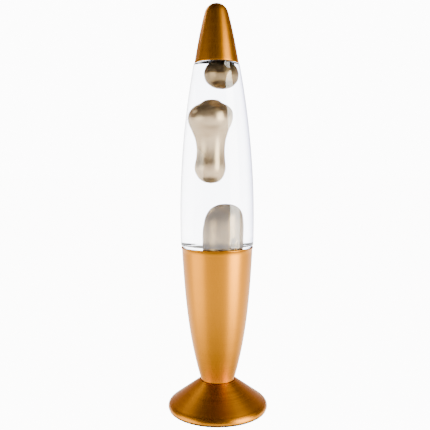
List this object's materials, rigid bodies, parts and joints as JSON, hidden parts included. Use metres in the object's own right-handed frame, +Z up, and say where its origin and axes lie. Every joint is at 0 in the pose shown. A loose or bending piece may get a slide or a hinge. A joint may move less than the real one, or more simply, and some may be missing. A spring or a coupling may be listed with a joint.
{
  "type": "lava lamp",
  "caption": "Lava lamp with a spun metal cup and flared foot, a tapered glass bottle of liquid and drifting wax, and a pointed cap that lifts off.",
  "frame": {"origin": "centre of the round underside, on the plane the lamp stands on", "axes": "+Z up along the lamp's axis; the cord bush faces +Y, so -Y is the front"},
  "size_m": [0.1016, 0.1016, 0.4064],
  "materials": {
    "gold_aluminium": "spun and gold anodised, satin",
    "clear_glass": "clear, fire polished",
    "lamp_liquid": "clear liquid",
    "gold_wax": "pearly gold wax, satin",
    "tinplate": "pressed tinplate",
    "liner_plastic": "soft sealing liner",
    "spring_steel": "drawn stainless wire",
    "zinc_steel": "zinc plated",
    "brass": "plain brass",
    "holder_plastic": "moulded thermoset",
    "white_nylon": "moulded nylon",
    "brown_sleeve": "silicone lead sleeve",
    "blue_sleeve": "silicone lead sleeve",
    "black_plastic": "moulded, fine matt",
    "black_rubber": "matt rubber",
    "bulb_glass": "thin clear glass",
    "black_glass": "black vitreous insulator",
    "solder": "tinned",
    "tungsten": "drawn wire"
  },
  "bodies": {
    "root": {"base_foot": "gold_aluminium", "base_cup": "gold_aluminium", "base_plate": "black_plastic", "foot_pad": "black_rubber", "spider_bracket": "zinc_steel", "threaded_nipple": "zinc_steel", "lock_washer": "zinc_steel", "lock_nut": "brass", "cord_bush": "black_plastic", "terminal_block": "white_nylon", "plate_screw_1": "zinc_steel", "plate_screw_2": "zinc_steel", "plate_screw_3": "zinc_steel", "block_screw_1": "zinc_steel", "block_screw_2": "zinc_steel", "block_screw_3": "zinc_steel", "block_screw_4": "zinc_steel", "lead_brown": "brown_sleeve", "lead_blue": "blue_sleeve", "holder_base": "holder_plastic", "holder_core": "holder_plastic", "holder_sleeve": "holder_plastic", "holder_thread": "brass", "holder_contact": "brass", "holder_screw_left": "zinc_steel", "holder_screw_right": "zinc_steel"},
    "bulb": {"bulb_envelope": "bulb_glass", "bulb_cap": "brass", "bulb_insulator": "black_glass", "bulb_contact": "solder", "bulb_stem": "bulb_glass", "bulb_filament": "tungsten", "bulb_wire_left": "tungsten", "bulb_wire_right": "tungsten"},
    "bottle": {"glass_bottle": "clear_glass", "clear_liquid": "lamp_liquid", "wax_pool": "gold_wax", "heat_coil": "spring_steel", "crown_cap": "tinplate", "crown_liner": "liner_plastic"},
    "blob_middle": {"wax_blob_middle": "gold_wax"},
    "blob_top": {"wax_blob_top": "gold_wax"},
    "cap": {"cap_shell": "gold_aluminium"}
  },
  "joints": [
    {"name": "bottle_lift", "type": "slide", "parent": "root", "child": "bottle", "axis": [0, 0, 1], "range_m": [0, 0.07]},
    {"name": "cap_lift", "type": "slide", "parent": "bottle", "child": "cap", "axis": [0, 0, 1], "range_m": [0, 0.04]},
    {"name": "bulb_turn", "type": "hinge", "parent": "root", "child": "bulb", "pos_m": [0, 0, 0.0446], "axis": [0, 0, 1], "range_deg": [0, 1440]},
    {"name": "middle_blob_drift", "type": "slide", "parent": "bottle", "child": "blob_middle", "axis": [0, 0, 1], "range_m": [-0.016, 0.006], "deforming": ["clear_liquid"]},
    {"name": "top_blob_drift", "type": "slide", "parent": "bottle", "child": "blob_top", "axis": [0, 0, 1], "range_m": [-0.006, 0], "deforming": ["clear_liquid"]}
  ]
}
